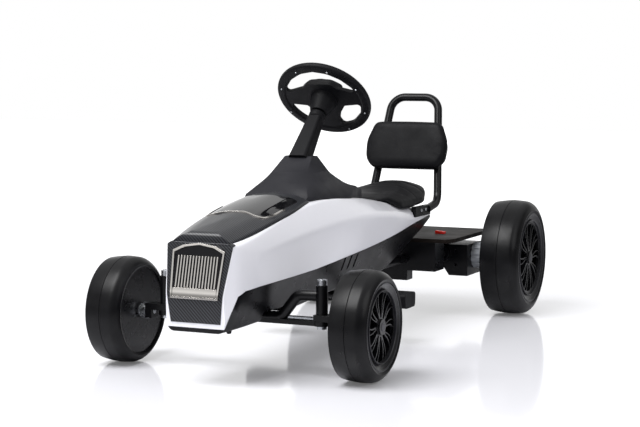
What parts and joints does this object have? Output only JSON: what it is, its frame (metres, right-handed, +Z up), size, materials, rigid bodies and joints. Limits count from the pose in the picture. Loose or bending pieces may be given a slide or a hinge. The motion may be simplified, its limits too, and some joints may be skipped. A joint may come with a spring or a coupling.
{
  "type": "ride-on go-kart",
  "caption": "Child's battery ride-on go-kart with a long white body, open front axle, steering wheel, low seat, padded backrest and large rear wheels.",
  "frame": {"origin": "on the ground below the middle of the kart's length and width", "axes": "+X to the kart's left, +Y towards its back, +Z up; it drives towards -Y"},
  "size_m": [0.5934, 1.2862, 0.5969],
  "materials": {
    "white_plastic": "gloss",
    "black_plastic": "satin",
    "matte_black_plastic": "matte",
    "carbon_look": "gloss",
    "smoked_plastic": "gloss",
    "chrome": "mirror",
    "tyre": "satin",
    "rim": "satin",
    "black_tube": "satin",
    "zinc": "satin",
    "pad": "satin",
    "box_cover": "satin",
    "grey_plastic": "satin",
    "red_plastic": "gloss",
    "battery": "matte"
  },
  "bodies": {
    "chassis": {"body_shell": "white_plastic", "tub": "matte_black_plastic", "hood_panel": "carbon_look", "hood_insert": "smoked_plastic", "hood_trim": "chrome", "nose_panel": "carbon_look", "grille_frame": "chrome", "grille_plate": "chrome", "grille_header": "black_plastic", "grille_slats": "chrome", "boot": "matte_black_plastic", "column_cover": "matte_black_plastic", "seat_pad": "pad", "backrest_tube": "black_tube", "backrest_pad": "pad", "backrest_board": "black_plastic", "rear_box": "black_plastic", "rear_cover": "box_cover", "battery": "battery", "power_switch": "red_plastic", "gearboxes": "black_plastic", "rear_axle": "zinc", "frame_rails": "black_tube", "front_axle": "black_tube", "footrest_bar": "black_tube", "footrests": "matte_black_plastic"},
    "steering": {"steering_wheel": "matte_black_plastic", "horn_pad": "matte_black_plastic", "steering_shaft": "zinc"},
    "knuckle_left": {"knuckle_left": "black_tube", "axle_pins_left": "zinc"},
    "knuckle_right": {"knuckle_right": "black_tube", "axle_pins_right": "zinc"},
    "tie_rod": {"tie_rod": "zinc"},
    "wheel_front_left": {"tyre_front_left": "tyre", "rim_front_left": "rim"},
    "wheel_front_right": {"tyre_front_right": "tyre", "rim_front_right": "rim"},
    "wheel_rear_left": {"tyre_rear_left": "tyre", "rim_rear_left": "rim", "coupling_left": "grey_plastic"},
    "wheel_rear_right": {"tyre_rear_right": "tyre", "rim_rear_right": "rim", "coupling_right": "grey_plastic"}
  },
  "joints": [
    {"name": "steering_turn", "type": "hinge", "parent": "chassis", "child": "steering", "pos_m": [0, -0.0596, 0.522], "axis": [0, 0.7022, 0.712], "range_deg": [-25, 25]},
    {"name": "knuckle_left_turn", "type": "hinge", "parent": "chassis", "child": "knuckle_left", "pos_m": [0.168, -0.446, 0.12], "axis": [0, 0, 1], "range_deg": [-25, 25]},
    {"name": "knuckle_right_turn", "type": "hinge", "parent": "chassis", "child": "knuckle_right", "pos_m": [-0.168, -0.446, 0.12], "axis": [0, 0, 1], "range_deg": [-25, 25]},
    {"name": "tie_rod_pivot", "type": "hinge", "parent": "knuckle_left", "child": "tie_rod", "pos_m": [0.168, -0.397, 0.104], "axis": [0, 0, 1], "range_deg": [-25, 25]},
    {"name": "front_left_spin", "type": "hinge", "parent": "knuckle_left", "child": "wheel_front_left", "pos_m": [0.2577, -0.446, 0.106], "axis": [1, 0, 0], "continuous": true},
    {"name": "front_right_spin", "type": "hinge", "parent": "knuckle_right", "child": "wheel_front_right", "pos_m": [-0.2577, -0.446, 0.106], "axis": [1, 0, 0], "continuous": true},
    {"name": "rear_left_spin", "type": "hinge", "parent": "chassis", "child": "wheel_rear_left", "pos_m": [0.2475, 0.507, 0.1364], "axis": [1, 0, 0], "continuous": true},
    {"name": "rear_right_spin", "type": "hinge", "parent": "chassis", "child": "wheel_rear_right", "pos_m": [-0.2475, 0.507, 0.1364], "axis": [1, 0, 0], "continuous": true}
  ],
  "couplings": [
    {"joint": "knuckle_left_turn", "follows": "steering_turn", "ratio": 1},
    {"joint": "knuckle_right_turn", "follows": "steering_turn", "ratio": 1},
    {"joint": "tie_rod_pivot", "follows": "steering_turn", "ratio": -1}
  ]
}
